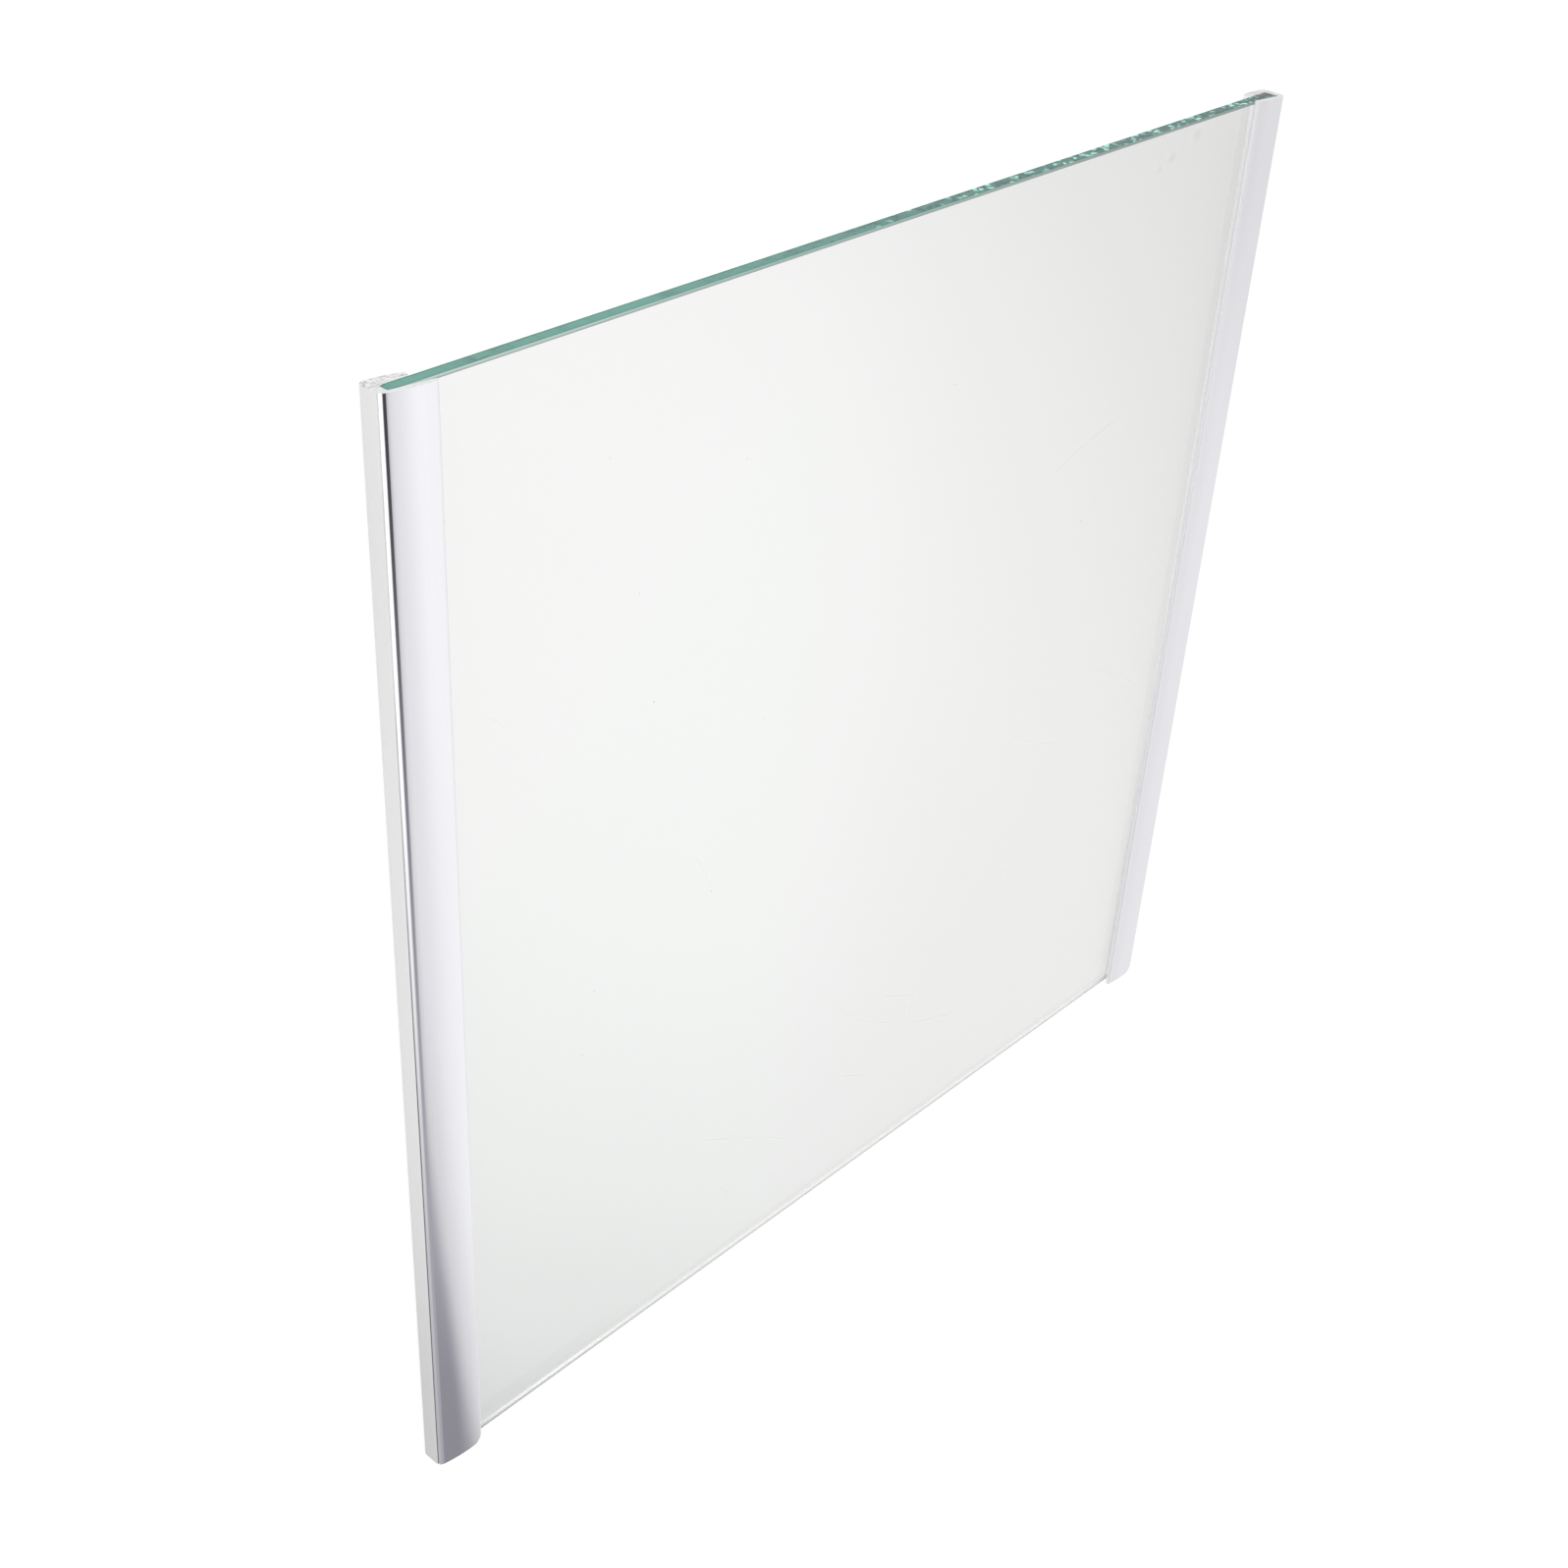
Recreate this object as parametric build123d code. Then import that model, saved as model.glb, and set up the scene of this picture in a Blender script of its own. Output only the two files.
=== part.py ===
from build123d import *
import os

os.makedirs("parts", exist_ok=True)

# Fridge glass shelf: a toughened glass panel with a channel trim pushed onto its front
# edge and another onto its rear edge. X runs along the trims, Y from the front edge to
# the rear edge, Z up. The flat undersides of the trims lie on Z = 0. Sizes in mm.

# Glass panel
glass_width = 295.0
glass_depth = 294.0
glass_thickness = 4.0
glass_corner_radius = 1.5
glass_arris = 0.5

# Fit of the glass in a channel: on both faces, and at the glass edge
face_clearance = 0.1
edge_clearance = 0.3

# Trim profile, measured inward from its outer face and upward from its underside
web_thickness = 2.7
face_lean = 0.2
flange_reach = 14.0
flange_tip_thickness = 1.0
flange_shoulder_thickness = 0.65
flange_crown = 0.55
leg_reach = 10.8
leg_thickness = 2.0
leg_tip_thickness = 1.3
leg_taper_length = 4.0

# Edges of the trim profile
shoulder_radius = 1.8
nose_radius = 2.0
flange_lip_radius = 0.5
leg_lip_radius = 0.2
channel_corner_radius = 0.3

# Fine groove along the shoulder, a little way up its round from the outer face
groove_angle = 30.0
groove_width = 0.3
groove_depth = 0.2

# Each trim runs past both side edges of the glass
trim_overhang = 0.6

# Heights of the stack: channel floor, glass, flange
channel_floor = leg_thickness
glass_underside = channel_floor + face_clearance
glass_top = glass_underside + glass_thickness
flange_underside = glass_top + face_clearance
flange_tip_top = flange_underside + flange_tip_thickness
shoulder_top = flange_underside + flange_shoulder_thickness

# Lengths that follow from the glass
trim_length = glass_width + 2 * trim_overhang
outer_face = glass_depth / 2 + edge_clearance + web_thickness

# Glass panel: rounded plan corners, then both rims ground to a narrow arris
with BuildPart() as glass_panel:
    with BuildSketch(Plane.XY.offset(glass_underside)):
        RectangleRounded(glass_width, glass_depth, glass_corner_radius)
    extrude(amount=glass_thickness)
    rims = glass_panel.faces().filter_by(Axis.Z).edges()
    chamfer(rims, glass_arris)

# Front trim: the channel profile stands on the outer face, its local X pointing inward
profile_plane = Plane(origin=(0, -outer_face, 0), x_dir=(0, 1, 0), z_dir=(1, 0, 0))

with BuildPart() as front_trim:
    with BuildSketch(profile_plane) as profile:
        with BuildLine():
            Polyline(
                (flange_reach, flange_tip_top),
                (flange_reach, flange_underside),
                (web_thickness, flange_underside),
                (web_thickness, channel_floor),
                (leg_reach, channel_floor),
                (leg_reach, channel_floor - leg_tip_thickness),
                (leg_reach - leg_taper_length, 0),
                (0, 0),
                (face_lean, shoulder_top),
            )
            # Gently crowned top of the flange, from the shoulder to the tip
            SagittaArc((face_lean, shoulder_top), (flange_reach, flange_tip_top), flange_crown)
        make_face()

        # Outer corners: nose under the outer face, shoulder above it, both lips
        nose = profile.vertices().sort_by_distance((0, 0))[0]
        fillet(nose, nose_radius)
        shoulder = profile.vertices().sort_by_distance((face_lean, shoulder_top))[0]
        fillet(shoulder, shoulder_radius)
        flange_lip = profile.vertices().sort_by_distance((flange_reach, flange_tip_top))[0]
        fillet(flange_lip, flange_lip_radius)
        leg_lip = profile.vertices().sort_by_distance((leg_reach, channel_floor - leg_tip_thickness))[0]
        fillet(leg_lip, leg_lip_radius)

        # Inner corners of the channel stay clear of the glass arris
        upper_inner = profile.vertices().sort_by_distance((web_thickness, flange_underside))[0]
        fillet(upper_inner, channel_corner_radius)
        lower_inner = profile.vertices().sort_by_distance((web_thickness, channel_floor))[0]
        fillet(lower_inner, channel_corner_radius)

        # Groove: square to the shoulder round, half of its rectangle outside the profile
        shoulder_round = profile.edges().filter_by(GeomType.CIRCLE).sort_by_distance((face_lean, shoulder_top))[0]
        groove_spot = shoulder_round.arc_center + Vector(-shoulder_radius, 0).rotate(Axis.Z, -groove_angle)
        with Locations(Location(groove_spot, (0, 0, -groove_angle))):
            Rectangle(2 * groove_depth, groove_width, mode=Mode.SUBTRACT)
    extrude(amount=trim_length / 2, both=True)

# Rear trim: the same length of profile, facing the other way
rear_trim = mirror(front_trim.part, about=Plane.XZ)

export_step(glass_panel.part, "parts/glass_panel.step")
export_step(front_trim.part, "parts/front_trim.step")
export_step(rear_trim, "parts/rear_trim.step")
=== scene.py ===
import math

import bmesh
import bpy
from mathutils import Matrix, Vector


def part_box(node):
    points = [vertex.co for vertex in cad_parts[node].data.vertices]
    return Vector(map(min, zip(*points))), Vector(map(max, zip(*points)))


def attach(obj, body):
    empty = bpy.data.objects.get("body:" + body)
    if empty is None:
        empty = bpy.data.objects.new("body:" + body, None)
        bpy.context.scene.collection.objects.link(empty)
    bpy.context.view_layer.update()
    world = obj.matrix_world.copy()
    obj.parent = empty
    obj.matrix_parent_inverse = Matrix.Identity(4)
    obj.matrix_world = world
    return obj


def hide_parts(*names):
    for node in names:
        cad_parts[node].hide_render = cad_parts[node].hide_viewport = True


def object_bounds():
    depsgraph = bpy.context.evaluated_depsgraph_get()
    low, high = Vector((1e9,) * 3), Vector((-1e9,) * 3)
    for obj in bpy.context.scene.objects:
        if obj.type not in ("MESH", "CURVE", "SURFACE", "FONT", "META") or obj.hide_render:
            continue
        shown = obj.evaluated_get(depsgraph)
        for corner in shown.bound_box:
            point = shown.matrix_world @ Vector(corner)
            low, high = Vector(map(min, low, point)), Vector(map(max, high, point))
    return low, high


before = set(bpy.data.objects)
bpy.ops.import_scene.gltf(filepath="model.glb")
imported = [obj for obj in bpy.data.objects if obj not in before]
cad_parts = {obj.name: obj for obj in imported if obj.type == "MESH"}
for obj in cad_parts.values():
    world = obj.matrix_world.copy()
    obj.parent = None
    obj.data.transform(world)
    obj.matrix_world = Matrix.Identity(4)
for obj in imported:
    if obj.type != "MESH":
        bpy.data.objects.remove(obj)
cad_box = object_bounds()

# Fridge glass shelf: a glass panel with a silver channel trim on its front and rear edges.
# X runs along the trims, Y from front to rear, Z up. Everything is in metres.
mm = 0.001

glass_low, glass_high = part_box("glass_panel")
trim_low, trim_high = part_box("front_trim")

# Glass panel
glass_corner_radius = 1.5 * mm
glass_arris = 0.5 * mm
arris_edge_round = 0.05 * mm

# Fit of the glass in the channel of a trim
face_clearance = 0.1 * mm
edge_clearance = 0.3 * mm

# Trim profile, measured inward from its outer face and upward from its underside
web_thickness = 2.7 * mm
face_lean = 0.2 * mm
flange_reach = 14.0 * mm
flange_tip_thickness = 1.0 * mm
flange_shoulder_thickness = 0.65 * mm
flange_crown = 0.55 * mm
leg_reach = 10.8 * mm
leg_tip_thickness = 1.3 * mm
leg_taper_length = 4.0 * mm
shoulder_radius = 1.8 * mm
nose_radius = 2.0 * mm
flange_lip_radius = 0.5 * mm
leg_lip_radius = 0.2 * mm
channel_corner_radius = 0.3 * mm
groove_angle = math.radians(30)
groove_width = 0.3 * mm
groove_depth = 0.2 * mm
cut_end_round = 0.08 * mm

# The trims are sheared off a little out of square, and pushed on a little off centre
end_slant = math.tan(math.radians(4))
low_end = trim_low.x + 0.35 * mm
high_end = trim_high.x + 1.1 * mm
rear_slip = 0.2 * mm
rear_shift = low_end + high_end + rear_slip
end_spare = 2.0 * mm

# One corner of each trim is worn round, at the upper X end
end_corner = high_end + end_slant * flange_reach / 2
front_corner_round = 3.6 * mm
rear_corner_round = 5.5 * mm

# Heights and places that follow from the glass
glass_thickness = glass_high.z - glass_low.z
channel_floor = glass_low.z - face_clearance
flange_underside = glass_high.z + face_clearance
flange_tip_top = flange_underside + flange_tip_thickness
shoulder_top = flange_underside + flange_shoulder_thickness
outer_face = glass_low.y - edge_clearance - web_thickness
rear_tip = -outer_face - flange_reach

# Crown of the flange, in the profile's own u (inward) and z: an arc from the shoulder to the tip
tip = Vector((flange_reach, flange_tip_top))
shoulder = Vector((face_lean, shoulder_top))
chord = tip - shoulder
chord_up = Vector((-chord.y, chord.x)).normalized()
crown_radius = (chord.length_squared / 4 + flange_crown**2) / (2 * flange_crown)
crown_centre = (tip + shoulder) / 2 + chord_up * (flange_crown - crown_radius)

# Lip: a round that touches the tip face and the crown
lip_inset = flange_reach - flange_lip_radius - crown_centre.x
lip_rise = math.sqrt((crown_radius - flange_lip_radius) ** 2 - lip_inset**2)
lip_centre = crown_centre + Vector((lip_inset, lip_rise))
lip_end = crown_centre + (lip_centre - crown_centre).normalized() * crown_radius

# Shoulder: a round that touches the leaning outer face and the crown
face_up = shoulder.normalized()
face_in = Vector((face_up.y, -face_up.x))
shoulder_inset = face_in.dot(crown_centre) - shoulder_radius
shoulder_rise = math.sqrt((crown_radius - shoulder_radius) ** 2 - shoulder_inset**2)
face_height = face_up.dot(crown_centre) + shoulder_rise
shoulder_centre = face_in * shoulder_radius + face_up * face_height
shoulder_start = crown_centre + (shoulder_centre - crown_centre).normalized() * crown_radius

# Groove: square to the shoulder round
groove_out = Vector((-math.cos(groove_angle), math.sin(groove_angle)))
groove_half = Vector((groove_out.y, -groove_out.x)) * (groove_width / 2)
groove_rim = shoulder_centre + groove_out * math.sqrt(shoulder_radius**2 - groove_half.length_squared)
groove_floor = shoulder_centre + groove_out * (shoulder_radius - groove_depth)

# Nose: a round that touches the outer face and the underside
nose_centre = Vector((nose_radius * (1 + face_up.x) / face_up.y, nose_radius))


# Node trees

class Reading:
    """A socket in a finish's nodes. Sums with it add Math nodes."""

    def __init__(self, finish, socket):
        self.finish = finish
        self.socket = socket

    def math(self, operation, *values):
        return self.finish.node("ShaderNodeMath", {"operation": operation}, dict(enumerate(values)))

    def __add__(self, other):
        return self.math("ADD", self, other)

    def __radd__(self, other):
        return self.math("ADD", other, self)

    def __sub__(self, other):
        return self.math("SUBTRACT", self, other)

    def __rsub__(self, other):
        return self.math("SUBTRACT", other, self)

    def __mul__(self, other):
        return self.math("MULTIPLY", self, other)

    def __rmul__(self, other):
        return self.math("MULTIPLY", other, self)

    def __abs__(self):
        return self.math("ABSOLUTE", self)

    def larger(self, other):
        return self.math("MAXIMUM", self, other)

    def fade(self, start, end):
        """0 at start, 1 at end, smooth between them."""
        settings = {"interpolation_type": "SMOOTHSTEP"}
        return self.finish.node("ShaderNodeMapRange", settings, {0: self, 1: start, 2: end})


class Finish:
    """A node tree that is written as sums and named nodes."""

    def __init__(self, owner):
        self.owner = owner
        owner.use_nodes = True
        self.tree = owner.node_tree
        self.tree.nodes.clear()

    def node(self, kind, settings=None, sockets=None, output=0):
        """Adds a node: its settings first, then the value or the link of each socket."""
        made = self.tree.nodes.new(kind)
        for name, value in (settings or {}).items():
            setattr(made, name, value)
        for name, value in (sockets or {}).items():
            if isinstance(value, Reading):
                self.tree.links.new(value.socket, made.inputs[name])
            else:
                made.inputs[name].default_value = value
        return Reading(self, made.outputs[output]) if made.outputs else made

    def place(self):
        return self.node("ShaderNodeTexCoord", output="Object")

    def parts(self, vector):
        split = self.node("ShaderNodeSeparateXYZ", sockets={0: vector})
        return [Reading(self, socket) for socket in split.socket.node.outputs]

    def vector(self, operation, a, b, output="Vector"):
        return self.node("ShaderNodeVectorMath", {"operation": operation}, {0: a, 1: b}, output)

    def dot(self, a, b):
        return self.vector("DOT_PRODUCT", a, b, "Value")

    def noise(self, place, stretch, detail=3.0, roughness=0.5):
        spot = self.vector("MULTIPLY", place, stretch)
        sockets = {"Vector": spot, "Scale": 1.0, "Detail": detail, "Roughness": roughness}
        return self.node("ShaderNodeTexNoise", {}, sockets, "Fac")

    def tint(self, share, a, b):
        """Colour a where share is 0, colour b where it is 1."""
        return self.node("ShaderNodeMix", {"data_type": "RGBA"}, {0: share, 6: a, 7: b}, 2)

    def bump(self, height, strength, distance):
        sockets = {"Height": height, "Strength": strength, "Distance": distance}
        return self.node("ShaderNodeBump", {}, sockets)

    def surface(self, **sockets):
        names = {name.replace("_", " "): value for name, value in sockets.items()}
        return self.node("ShaderNodeBsdfPrincipled", {}, names)

    def blend(self, share, a, b):
        """Shader a where share is 0, shader b where it is 1."""
        return self.node("ShaderNodeMixShader", {}, {0: share, 1: a, 2: b})

    def light_path(self, name):
        return self.node("ShaderNodeLightPath", output=name)

    def output(self, kind="ShaderNodeOutputMaterial", **shaders):
        self.node(kind, {}, shaders)
        return self.owner


def rgb(red, green, blue):
    return (red, green, blue, 1.0)


# Finishes

# Fine hairlines on the glass: start and end in mm, and how far the line bows from straight
scratch_half_width = 0.09 * mm
glass_hairlines = (
    ((-69, -127, 0), (-63, -121, 0), 0.4),
    ((9, 93, 0), (30, 128, 0), 2.5),
    ((17, 62, 0), (31, 87, 0), -1.2),
    ((80, -4, 0), (101, 24, 0), -2.0),
    ((86, 14, 0), (96, 32, 0), 0.3),
    ((94, 31, 0), (103, 28, 0), 0.2),
    ((106, 31, 0), (114, 52, 0), 0.4),
    ((108, 0, 0), (114, 11, 0), 0.2),
    ((95, -59, 0), (120, -19, 0), 0.8),
    ((-3, -64, 0), (13, -56, 0), 0.5),
    ((-61, 64, 0), (-71, 97, 0), 1.2),
)

# Specks and smudges on the glass: place in mm, radius in mm, and how strongly they show
glass_spots = (
    ((68, 67), 0.5, 0.35),
    ((12, -57), 0.55, 0.35),
    ((40, -100), 0.5, 0.25),
    ((22, -96), 0.5, 0.3),
    ((120, -48), 0.4, 0.25),
    ((-52, -78), 0.5, 0.35),
    ((-101, 21), 0.4, 0.25),
    ((-117, -92), 0.4, 0.3),
    ((-32, -41), 0.4, 0.25),
    ((-82, -83), 0.45, 0.25),
    ((-43, 83), 0.5, 0.3),
    ((-104, -51), 0.4, 0.25),
    ((-140, 101), 2.0, 0.34),
    ((-144, 111), 2.4, 0.26),
    ((-138, 96), 1.8, 0.16),
)

# Nicks in the ground edge near the front: start and end in mm, and bow
nick_half_width = 0.16 * mm
edge_nicks = (
    ((0, -126, 3.0), (0, -125.7, 5.6), 0.0),
    ((0, -126, 5.3), (0, -121.5, 4.7), 0.1),
    ((0, -121, 3.4), (0, -116, 2.6), 0.1),
    ((0, -115, 3.2), (0, -108, 2.5), 0.1),
)


def hairline(finish, place, facing, line, half_width):
    """1 on a fine curved line over a flat face, 0 beside it."""
    start, end, bow = line
    a = Vector(start) * mm
    along = Vector(end) * mm - a
    across = Vector(facing).cross(along).normalized()
    from_start = finish.vector("SUBTRACT", place, a)
    share = finish.dot(from_start, along / along.length_squared)
    off_line = finish.dot(from_start, across) - share * (1 - share) * (4 * bow * mm)
    ends = share.fade(0.0, 0.25) * share.fade(1.0, 0.75)
    return abs(off_line).fade(half_width, 0.0) * ends


def hairlines(finish, place, facing, lines, half_width):
    drawn = hairline(finish, place, facing, lines[0], half_width)
    for line in lines[1:]:
        drawn = drawn.larger(hairline(finish, place, facing, line, half_width))
    return drawn


def spot(finish, place, centre, radius, strength):
    """Strongest at the middle of a small round mark, 0 outside it."""
    middle = Vector((centre[0] * mm, centre[1] * mm, glass_high.z))
    distance = finish.vector("DISTANCE", place, middle, "Value")
    return distance.fade(radius * mm, 0.0) * strength


def spots(finish, place):
    drawn = spot(finish, place, *glass_spots[0])
    for mark in glass_spots[1:]:
        drawn = drawn.larger(spot(finish, place, *mark))
    return drawn


def let_light_by(finish, seen, colour):
    """Ends a glass finish: shadow rays and soft light go straight through it, tinted."""
    passing = finish.node("ShaderNodeBsdfTransparent", {}, {"Color": colour})
    goes_by = finish.light_path("Is Shadow Ray").larger(finish.light_path("Is Diffuse Ray"))
    return finish.output(Surface=finish.blend(goes_by, seen, passing))


def clear_glass(name, worn):
    finish = Finish(bpy.data.materials.new(name))
    place = finish.place()
    film = finish.noise(place, (14, 22, 14), 4.0)
    seen = finish.surface(
        Base_Color=rgb(0.985, 0.99, 0.982),
        Roughness=film * 0.02,
        IOR=1.52,
        Transmission_Weight=1.0,
    )
    if worn:
        scratches = hairlines(finish, place, (0, 0, 1), glass_hairlines, scratch_half_width)
        blotchy = finish.noise(place, (700, 500, 700), 3.0)
        marks = scratches * 0.2 + spots(finish, place) * blotchy.fade(0.1, 0.5)
        dirt_and_painted_shade = finish.tint(blotchy, rgb(0.40, 0.41, 0.40), rgb(0.6, 0.6, 0.59))
        dust = finish.surface(Base_Color=dirt_and_painted_shade, Roughness=0.8)
        seen = finish.blend(marks, seen, dust)
    return let_light_by(finish, seen, rgb(0.98, 0.98, 0.978))


def edge_teal(finish, place, y, height, grinding):
    """Darker toward the rear and toward both rims."""
    drift = finish.noise(place, (0, 90, 0), 4.0, 0.6)
    teal = finish.tint(y.fade(-0.11, 0.10), rgb(0.125, 0.30, 0.25), rgb(0.10, 0.18, 0.17))
    teal = finish.tint(0.5 * drift.fade(0.45, 0.65), teal, rgb(0.085, 0.165, 0.15))
    teal = finish.tint(0.3 * grinding.fade(0.45, 0.75), teal, rgb(0.19, 0.36, 0.315))
    teal = finish.tint(0.5 * height.fade(0.74, 0.84), teal, rgb(0.085, 0.13, 0.12))
    return finish.tint(0.8 * height.fade(0.27, 0.17), teal, rgb(0.10, 0.125, 0.12))


def edge_wear(finish, place, y, face):
    """Chipped facets with painted glints and darker cells, thicker toward the rear, painted shade under
    the rear flange, and nicks.
    """
    shards = finish.vector("MULTIPLY", place, (0, 800, 1000))
    shards = finish.node("ShaderNodeTexVoronoi", {}, {"Vector": shards, "Scale": 1.0}, "Color")
    chance, dull_chance, painted_glint = finish.parts(shards)
    dull = dull_chance.fade(0.70, 0.72) * y.fade(-0.09, 0.02)
    face = finish.tint(0.6 * dull, face, rgb(0.06, 0.11, 0.10))
    # Painted glints: chipped facets are tinted bright mint, some brighter than others
    chipped = (chance - 1 + 0.26 * y.fade(-0.03, 0.08)).fade(0.0, 0.01)
    face = finish.tint(chipped * (0.1 + 0.8 * painted_glint), face, rgb(0.42, 0.80, 0.66))
    # Painted shade: the edge goes dark grey where it runs under the rear flange
    painted_flange_shade = y.fade(rear_tip + 1 * mm, rear_tip + 6 * mm)
    face = finish.tint(0.75 * painted_flange_shade, face, rgb(0.10, 0.11, 0.105))
    nicks = hairlines(finish, place, (1, 0, 0), edge_nicks, nick_half_width)
    return finish.tint(0.8 * nicks, face, rgb(0.04, 0.06, 0.055))


def edge_arris(finish, y, height):
    """Paler than the face below it, with a grey line along the top."""
    arris = finish.tint(y.fade(-0.13, -0.03), rgb(0.36, 0.48, 0.44), rgb(0.225, 0.37, 0.335))
    arris = finish.tint(y.fade(-0.03, 0.11), arris, rgb(0.19, 0.26, 0.24))
    return finish.tint(0.85 * height.fade(0.93, 0.97), arris, rgb(0.25, 0.275, 0.265))


def edge_within(finish, y, height):
    """The edge as the glass shows it from inside: pale low down, with a painted reflection along the top,
    a grey band where the arris reflects inward.
    """
    from_front = y.fade(-0.11, -0.07)
    low = finish.tint(from_front, rgb(0.80, 0.80, 0.79), rgb(0.71, 0.71, 0.70))
    high = finish.tint(from_front, rgb(0.48, 0.485, 0.48), rgb(0.52, 0.525, 0.52))
    colour = finish.tint(height.fade(0.30, 0.45), low, high)
    return finish.surface(Base_Color=colour, Roughness=0.6, Specular_IOR_Level=0.15)


def ground_edge():
    """Teal from outside, where the light has come a long way through the glass, and pale from inside."""
    finish = Finish(bpy.data.materials.new("ground_glass_edge"))
    place = finish.place()
    x, y, z = finish.parts(place)
    height = (z - glass_low.z) * (1 / glass_thickness)
    arris_start = 1 - glass_arris / glass_thickness
    on_arris = height.fade(arris_start - 0.02, arris_start + 0.01)

    grinding = finish.noise(place, (0, 300, 3500), 4.0, 0.6)
    face = edge_wear(finish, place, y, edge_teal(finish, place, y, height, grinding))
    colour = finish.tint(on_arris, face, edge_arris(finish, y, height))
    relief = finish.bump(grinding, 0.3, 0.05 * mm)
    outside = finish.surface(Base_Color=colour, Roughness=0.45, Specular_IOR_Level=0.15, Normal=relief)
    from_inside = finish.node("ShaderNodeNewGeometry", output="Backfacing")
    seen = finish.blend(from_inside, outside, edge_within(finish, y, height))
    return let_light_by(finish, seen, rgb(0.8, 0.87, 0.84))


def silver_film(name, roughness, painted_glow):
    """The mirror-like film over the flange and the shoulder, dull at the lip, where the tip face below
    the round has painted light: it glows.
    """
    finish = Finish(bpy.data.materials.new(name))
    place = finish.place()
    drawn = finish.noise(place, (6, 1500, 1500), 3.0)
    haze = finish.noise(place, (30, 120, 120), 3.0)
    peel = finish.noise(place, (160, 700, 700), 2.0)
    x, y, z = finish.parts(place)
    # Painted shade: the film is a little darker over the last few mm toward the flange's tip
    toward_tip = abs(y).fade(rear_tip + 7 * mm, rear_tip + 2 * mm)
    colour = finish.tint(haze, rgb(0.885, 0.875, 0.915), rgb(0.915, 0.905, 0.94))
    colour = finish.tint(0.8 * toward_tip, colour, rgb(0.86, 0.853, 0.883))
    relief = finish.bump(peel, 0.05, 0.05 * mm)
    # Painted light: the tip face below the lip's round glows faintly lavender
    below_round = z.fade(flange_tip_top, flange_tip_top - flange_lip_radius)
    film = finish.surface(
        Base_Color=colour,
        Metallic=1.0 - drawn * 0.04,
        Roughness=roughness + drawn * 0.06,
        Normal=relief,
        Emission_Color=finish.tint(below_round, rgb(0, 0, 0), rgb(0.98, 0.96, 1)),
        Emission_Strength=painted_glow,
    )
    material = finish.output(Surface=film)
    material.cycles.emission_sampling = "NONE"
    return material


def satin_plastic(name, shade):
    """The bare plastic below the film, with painted shade darkening it toward the upper X end: a paler
    copy beside the glass is painted light, a dark copy on the channel's wall is painted shade.
    """
    finish = Finish(bpy.data.materials.new(name))
    place = finish.place()
    x, y, z = finish.parts(place)
    drawn = finish.noise(place, (5, 1200, 1200), 3.0)
    cloud = finish.noise(place, (12, 60, 60), 3.0)
    # Painted shade: darker toward the upper X end, over the plastic's own cloudy tone
    tone_and_painted_shade = 1 - shade + cloud * 0.1 - 0.05 + x.fade(0.0, 0.17) * 0.16
    colour = finish.tint(tone_and_painted_shade, rgb(1, 1, 0.995), rgb(0, 0, 0))
    relief = finish.bump(drawn, 0.08, 0.05 * mm)
    skin = finish.surface(Base_Color=colour, Roughness=0.28 + drawn * 0.1, Normal=relief)
    return finish.output(Surface=skin)


def groove_plastic():
    """Painted shade in the groove, darker toward the upper X end."""
    finish = Finish(bpy.data.materials.new("groove_plastic"))
    place = finish.place()
    x, y, z = finish.parts(place)
    dirt_and_painted_shade = finish.noise(place, (60, 300, 300), 3.0) * 0.4 - 0.2 + x.fade(-0.12, 0.04)
    colour = finish.tint(dirt_and_painted_shade, rgb(0.82, 0.82, 0.82), rgb(0.24, 0.24, 0.245))
    return finish.output(Surface=finish.surface(Base_Color=colour, Roughness=0.5))


def cut_plastic():
    finish = Finish(bpy.data.materials.new("cut_plastic"))
    place = finish.place()
    grain = finish.noise(place, (800, 1400, 1400), 5.0, 0.65)
    saw = finish.noise(place, (500, 500, 6000), 2.0)
    x, y, z = finish.parts(place)
    colour = finish.tint(grain.fade(0.3, 0.62), rgb(0.34, 0.335, 0.335), rgb(0.74, 0.72, 0.72))
    thin_flange = z.fade(channel_floor + 0.5 * mm, flange_underside)
    colour = finish.tint(0.8 * thin_flange, colour, rgb(0.62, 0.67, 0.65))
    relief = finish.bump(grain + saw, 0.8, 0.12 * mm)
    core = finish.surface(Base_Color=colour, Roughness=0.45 + grain * 0.2, Normal=relief)
    return finish.output(Surface=core)


# Modelling by hand

# How far a place may be from where it is looked for
margin = 0.01 * mm


def select(piece, kind, wanted):
    """Selects the piece's vertices, edges or faces for which wanted is true, and nothing else."""
    bpy.ops.mesh.select_mode(type={"verts": "VERT", "edges": "EDGE", "faces": "FACE"}[kind])
    bpy.ops.mesh.select_all(action="DESELECT")
    mesh = bmesh.from_edit_mesh(piece.data)
    for part in getattr(mesh, kind):
        if wanted(part):
            part.select_set(True)
    mesh.select_flush_mode()
    bmesh.update_edit_mesh(piece.data)


def near(a, b):
    return abs(a - b) < 0.001 * mm


def paint(piece, finish, wanted):
    """Gives the faces for which wanted is true a finish of their own."""
    piece.data.materials.append(finish)
    select(piece, "faces", wanted)
    piece.active_material_index = len(piece.data.materials) - 1
    bpy.ops.object.material_slot_assign()


def close_piece(piece, name, node):
    """Leaves edit mode and hands the piece over: smooth rounds, its body, the solid it stands for."""
    bpy.ops.object.mode_set(mode="OBJECT")
    bpy.ops.object.shade_smooth_by_angle(angle=math.radians(30))
    piece.name = name
    piece.data.name = name
    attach(piece, "root")
    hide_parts(node)


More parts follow.
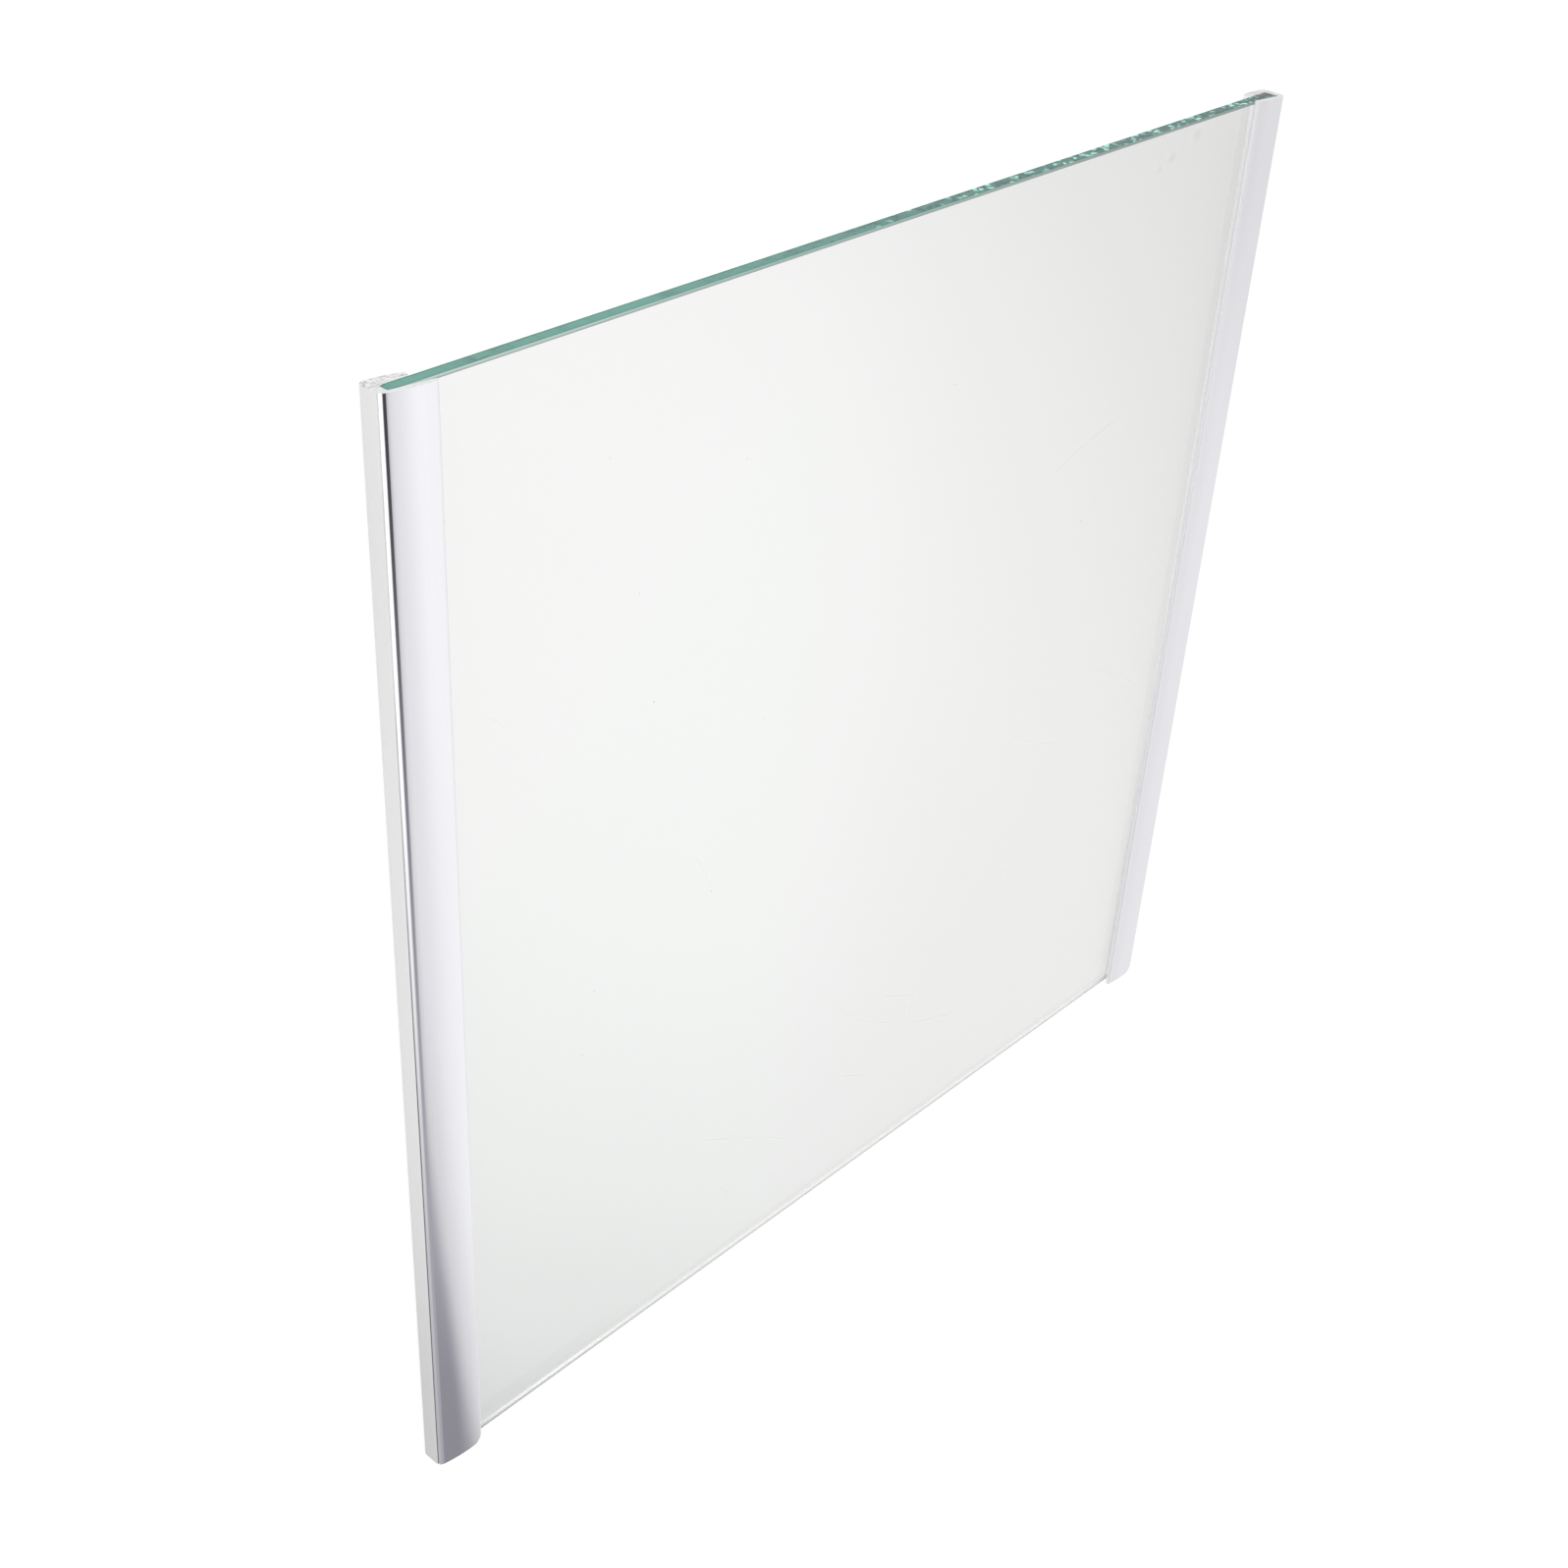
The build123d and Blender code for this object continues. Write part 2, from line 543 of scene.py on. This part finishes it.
def glass_panel():
    bpy.ops.object.select_all(action="DESELECT")
    middle = (glass_low + glass_high) / 2
    bpy.ops.mesh.primitive_cube_add(size=1, location=middle, scale=glass_high - glass_low)
    piece = bpy.context.object
    bpy.ops.object.transform_apply(location=True, rotation=True, scale=True)

    bpy.ops.object.mode_set(mode="EDIT")
    select(piece, "edges", lambda e: not near(e.verts[0].co.z, e.verts[1].co.z))
    bpy.ops.mesh.bevel(offset=glass_corner_radius, segments=6, affect="EDGES")
    select(piece, "edges", lambda e: near(e.verts[0].co.z, e.verts[1].co.z))
    bpy.ops.mesh.bevel(offset=glass_arris, segments=1, affect="EDGES")
    bpy.ops.object.mode_set(mode="OBJECT")

    rounded = piece.modifiers.new("arris_edges", "BEVEL")
    rounded.width = arris_edge_round
    rounded.segments = 2
    rounded.limit_method = "ANGLE"
    rounded.angle_limit = math.radians(35)
    bpy.ops.object.modifier_apply(modifier=rounded.name)

    bpy.ops.object.mode_set(mode="EDIT")
    paint(piece, clear_glass("clear_glass", False), lambda f: f.normal.z < -0.9)
    paint(piece, clear_glass("worn_glass", True), lambda f: f.normal.z > 0.9)
    paint(piece, ground_edge(), lambda f: abs(f.normal.z) < 0.9)
    close_piece(piece, "glass", "glass_panel")

    # The big faces stay dead flat: their rims don't bend the reflections
    bpy.ops.object.mode_set(mode="EDIT")
    select(piece, "faces", lambda f: abs(f.normal.z) > 0.99)
    bpy.ops.mesh.faces_shade_flat()
    bpy.ops.object.mode_set(mode="OBJECT")


class Outline:
    """A profile drawn vertex by vertex a little beyond the trim's lower X end, u inward and z upward."""

    def __init__(self, start):
        bpy.ops.object.select_all(action="DESELECT")
        bpy.ops.mesh.primitive_plane_add(size=mm, location=self.spot(start))
        self.piece = bpy.context.object
        self.at = Vector(start)
        bpy.ops.object.transform_apply(location=True, rotation=True, scale=True)
        bpy.ops.object.mode_set(mode="EDIT")
        bpy.ops.mesh.select_mode(type="VERT")
        bpy.ops.mesh.select_all(action="SELECT")
        bpy.ops.mesh.merge(type="CENTER")

    def spot(self, point):
        return Vector((low_end - end_spare, outer_face + point[0], point[1]))

    def run_to(self, *point):
        step = self.spot(point) - self.spot(self.at)
        bpy.ops.mesh.extrude_region_move(TRANSFORM_OT_translate={"value": step})
        self.at = Vector(point)

    def turn_to(self, point, centre, steps):
        turn = (self.at - centre).angle(point - centre)
        bpy.ops.mesh.spin(steps=steps, angle=-turn, center=self.spot(centre), axis=(1, 0, 0))
        self.at = Vector(point)

    def fill(self):
        bpy.ops.mesh.select_all(action="SELECT")
        bpy.ops.mesh.edge_face_add()

    def round_corner(self, point, radius):
        spot = self.spot(point)
        select(self.piece, "verts", lambda v: (v.co - spot).length < margin)
        bpy.ops.mesh.bevel(offset=radius, segments=4, affect="VERTICES")


def along_trim(vertex):
    """Where a vertex is along the trim, the same for all of a slanted end."""
    return vertex.co.x - end_slant * (vertex.co.y - outer_face - flange_reach / 2)


def shear_off(end, outward):
    bpy.ops.mesh.select_all(action="SELECT")
    middle = (end, outer_face + flange_reach / 2, 0)
    normal = (outward, -outward * end_slant, 0)
    bpy.ops.mesh.bisect(plane_co=middle, plane_no=normal, use_fill=True, clear_outer=True)


def round_off(piece, corner, radius):
    """Takes a sharp upright corner off an end of the trim, in a few narrow cuts."""
    bpy.ops.object.mode_set(mode="EDIT")
    for degrees in (15, 30, 45, 60, 75):
        outward = Vector((math.cos(math.radians(degrees)), math.sin(math.radians(degrees)), 0))
        touch = corner - Vector((radius, radius, 0)) + outward * radius
        bpy.ops.mesh.select_all(action="SELECT")
        bpy.ops.mesh.bisect(plane_co=touch, plane_no=outward, use_fill=True, clear_outer=True)


def draw_profile():
    line = Outline((flange_reach, lip_centre.y))
    line.turn_to(lip_end, lip_centre, 8)
    line.turn_to(shoulder_start, crown_centre, 28)
    line.turn_to(groove_rim + groove_half, shoulder_centre, 14)
    line.run_to(*(groove_floor + groove_half))
    line.run_to(*(groove_floor - groove_half))
    line.run_to(*(groove_rim - groove_half))
    line.turn_to(face_up * face_height, shoulder_centre, 6)
    line.run_to(*(face_up * face_up.dot(nose_centre)))
    line.turn_to(Vector((nose_centre.x, 0)), nose_centre, 12)
    line.run_to(leg_reach - leg_taper_length, 0)
    line.run_to(leg_reach, channel_floor - leg_tip_thickness)
    line.run_to(leg_reach, channel_floor)
    line.run_to(web_thickness, channel_floor)
    line.run_to(web_thickness, flange_underside)
    line.run_to(flange_reach, flange_underside)
    line.fill()
    line.round_corner((leg_reach, channel_floor - leg_tip_thickness), leg_lip_radius)
    line.round_corner((web_thickness, channel_floor), channel_corner_radius)
    line.round_corner((web_thickness, flange_underside), channel_corner_radius)
    return line.piece


def cut_to_length(piece):
    """Draws the profile out along X, shears both ends off and takes the edge off the cuts."""
    bpy.ops.mesh.select_all(action="SELECT")
    length = high_end - low_end + 2 * end_spare
    bpy.ops.mesh.extrude_region_move(TRANSFORM_OT_translate={"value": (length, 0, 0)})
    bpy.ops.mesh.select_all(action="SELECT")
    bpy.ops.mesh.normals_make_consistent(inside=False)
    shear_off(low_end, -1)
    shear_off(high_end, 1)
    select(piece, "edges", lambda e: near(along_trim(e.verts[0]), along_trim(e.verts[1])))
    bpy.ops.mesh.bevel(offset=cut_end_round, segments=2, affect="EDGES")
    select(piece, "edges", lambda e: near(along_trim(e.verts[0]), along_trim(e.verts[1])))
    bpy.ops.mesh.mark_sharp()


def paint_trim(piece):
    groove_middle = (groove_rim + groove_floor) / 2

    def across(face):
        """Where a face is in the profile."""
        middle = face.calc_center_median()
        return Vector((middle.y - outer_face, middle.z))

    def beside_glass(face):
        """The leg, and the underside of the flange."""
        u, z = across(face)
        on_leg = u > nose_centre.x and z < channel_floor + margin
        return on_leg or near(z, flange_underside)

    def on_lip(face):
        return across(face).x > flange_reach - flange_lip_radius and face.normal.y > 0.2

    def channel_wall(face):
        u, z = across(face)
        in_opening = channel_floor + margin < z < flange_underside - margin
        return in_opening and web_thickness - margin < u < leg_reach

    def on_top(face):
        return across(face).y > groove_floor.y and face.normal.z > -0.5

    def in_groove(face):
        return (across(face) - groove_middle).length < groove_depth

    paint(piece, satin_plastic("satin_plastic", 0.74), lambda f: True)
    # Painted light: the leg and the flange's underside get a paler copy of the plastic
    paint(piece, satin_plastic("leg_plastic_painted_light", 0.94), beside_glass)
    paint(piece, silver_film("silver_film", 0.07, 0.0), on_top)
    # Painted light: the lip gets a dull film whose tip face glows
    paint(piece, silver_film("film_lip_painted_glow", 0.5, 0.09), on_lip)
    # Painted shade: the groove's faces get a darker finish
    paint(piece, groove_plastic(), in_groove)
    # Painted shade: a dark copy of the plastic on the channel's wall
    paint(piece, satin_plastic("channel_plastic_painted_shade", 0.3), channel_wall)


def trim():
    piece = draw_profile()
    cut_to_length(piece)
    paint_trim(piece)
    bpy.ops.object.mode_set(mode="OBJECT")
    return piece


def turned_copy(front):
    """A second length of the same trim, turned the other way round."""
    bpy.ops.object.select_all(action="DESELECT")
    piece = front.copy()
    piece.data = front.data.copy()
    bpy.context.scene.collection.objects.link(piece)
    piece.select_set(True)
    bpy.context.view_layer.objects.active = piece
    bpy.ops.object.mode_set(mode="EDIT")
    bpy.ops.mesh.select_all(action="SELECT")
    bpy.ops.transform.rotate(value=math.pi, orient_axis="Z", center_override=(0, 0, 0))
    bpy.ops.transform.translate(value=(rear_shift, 0, 0))
    bpy.ops.object.mode_set(mode="OBJECT")
    return piece


def trims():
    """Two lengths of the same trim, each with its worn corner and its bare cut ends."""
    cut = cut_plastic()
    front = trim()
    rear = turned_copy(front)

    round_off(rear, Vector((end_corner + rear_slip, -outer_face, 0)), rear_corner_round)
    paint(rear, cut, lambda f: abs(f.normal.x) > 0.2)
    close_piece(rear, "rear_channel", "rear_trim")

    bpy.ops.object.select_all(action="DESELECT")
    front.select_set(True)
    bpy.context.view_layer.objects.active = front
    round_off(front, Vector((end_corner, outer_face + flange_reach, 0)), front_corner_round)
    paint(front, cut, lambda f: abs(f.normal.x) > 0.2)
    close_piece(front, "front_channel", "front_trim")


# Stage

floor_size = 16.0
floor_gap = 0.02 * mm
card_size = 4.0
card_place = (0, 0.5, 0)


def studio_sky():
    """A dim ceiling between a lit panel beyond the shelf and a bright bank in front of it."""
    world = bpy.data.worlds.new("studio_sky")
    bpy.context.scene.world = world
    finish = Finish(world)
    toward = finish.node("ShaderNodeTexCoord", output="Generated")
    x, y, z = finish.parts(toward)

    def part_way(level, other, share):
        return level + share * (other - level)

    ceiling = 0.04 + 0.38 * x.fade(0.42, 0.70) - 0.14 * x.fade(0.70, 0.76) * y.fade(0.05, 0.25)

    panel = 0.84 + 0.20 * y.fade(0.33, 0.62)
    past_front_edge = (y - 0.36 * z).fade(-0.13, 0.05)
    from_side_edge = y + 0.53 * z - 0.903 * x
    past_side_edge = 0.72 * from_side_edge.fade(-0.058, 0.036) + 0.28 * from_side_edge.fade(0.0, 0.17)
    level = part_way(ceiling, panel, past_front_edge * past_side_edge)

    bank = 1.25 - 0.75 * x.fade(0.50, 0.78)
    level = part_way(level, bank, (y + 0.45 * z).fade(0.09, -0.24))

    open_room = 1.0 + 0.75 * x.fade(0.0, -0.7)
    level = part_way(level, open_room, x.fade(0.38, 0.10))

    seen = finish.light_path("Is Camera Ray")
    shown = part_way(level, 1.0, seen)
    cool_dusk = finish.tint(shown.fade(0.1, 0.9), rgb(0.94, 0.93, 1.03), rgb(1, 1, 1))
    back = finish.node("ShaderNodeBackground", {}, {"Color": cool_dusk, "Strength": shown})
    finish.output("ShaderNodeOutputWorld", Surface=back)


def white_floor():
    bpy.ops.object.select_all(action="DESELECT")
    bpy.ops.mesh.primitive_plane_add(size=floor_size, location=(0, 0, cad_box[0][2] - floor_gap))
    floor = bpy.context.object
    bpy.ops.object.transform_apply(location=True, rotation=True, scale=True)
    floor.name = "floor"
    finish = Finish(bpy.data.materials.new("white_floor"))
    x, y, z = finish.parts(finish.place())
    paper = finish.node("ShaderNodeBsdfDiffuse", {}, {"Color": rgb(0.85, 0.85, 0.845)})

    # Seen through the glass and in mirrors the floor glows, with painted shade toward three of the
    # shelf's corners and past its side edge, and greener in front
    toward_corners = (x - y).fade(0.026, 0.40) * 0.19 + (y - x).fade(0.026, 0.346) * 0.21
    past_side = x.fade(glass_high.x - 4.5 * mm, glass_high.x - 3.3 * mm) * y.fade(-0.07, -0.11)
    painted_shade = toward_corners + (x + y).fade(-0.15, 0.27) * 0.09 + past_side * 0.035
    greener = y.fade(0.03, -0.06) * (1 - 0.8 * (x + y).fade(-0.11, -0.18))
    painted_glow_colour = finish.tint(greener, rgb(0.925, 0.925, 0.92), rgb(0.913, 0.929, 0.922))
    painted_glow_colour = finish.tint(painted_shade, painted_glow_colour, rgb(0, 0, 0))
    painted_glow = finish.node("ShaderNodeEmission", {}, {"Color": painted_glow_colour})
    white = finish.node("ShaderNodeEmission", {}, {"Color": rgb(1, 1, 1), "Strength": 1.08})
    by_way = finish.light_path("Is Glossy Ray").larger(finish.light_path("Is Transmission Ray"))
    by_way = by_way.larger(0.6 * finish.light_path("Is Diffuse Ray"))
    sheet = finish.blend(0.9 * by_way, paper, painted_glow)
    sheet = finish.blend(0.8 * finish.light_path("Is Camera Ray"), sheet, white)
    material = finish.output(Surface=sheet)
    material.cycles.emission_sampling = "NONE"
    floor.data.materials.append(material)


def far_card():
    """A pale card that stands beyond the shelf and shows only in mirror pictures, soft along its top."""
    bpy.ops.object.select_all(action="DESELECT")
    bpy.ops.mesh.primitive_plane_add(size=card_size, location=card_place, rotation=(math.pi / 2, 0, 0))
    card = bpy.context.object
    bpy.ops.object.transform_apply(location=True, rotation=True, scale=True)
    card.name = "far_card"
    finish = Finish(bpy.data.materials.new("far_card"))
    x, y, z = finish.parts(finish.place())
    pale = finish.tint(x.fade(0.15, 0.0), rgb(0.86, 0.86, 0.86), rgb(0.79, 0.79, 0.79))
    painted_glint = finish.node("ShaderNodeEmission", {}, {"Color": pale})
    clear = finish.node("ShaderNodeBsdfTransparent")
    mirrored = finish.light_path("Is Glossy Ray") * z.fade(0.54, 0.33)
    material = finish.output(Surface=finish.blend(mirrored, clear, painted_glint))
    material.cycles.emission_sampling = "NONE"
    card.data.materials.append(material)


def photo_camera():
    place = Vector((-0.3175, -0.3732, 0.3097))
    forward = Vector((0.5601, 0.6186, -0.5509)).normalized()
    up = Vector((-0.8269, 0.3773, -0.4171)).normalized()
    right = forward.cross(up)
    lens = bpy.data.cameras.new("photo_camera")
    lens.sensor_width = 36.0
    lens.lens = 50.7
    lens.clip_end = 50.0
    camera = bpy.data.objects.new("photo_camera", lens)
    bpy.context.scene.collection.objects.link(camera)
    camera.matrix_world = Matrix.Translation(place) @ Matrix((right, up, -forward)).transposed().to_4x4()
    bpy.context.scene.camera = camera


glass_panel()
trims()
studio_sky()
white_floor()
far_card()
photo_camera()
bpy.context.scene.view_settings.view_transform = "Standard"
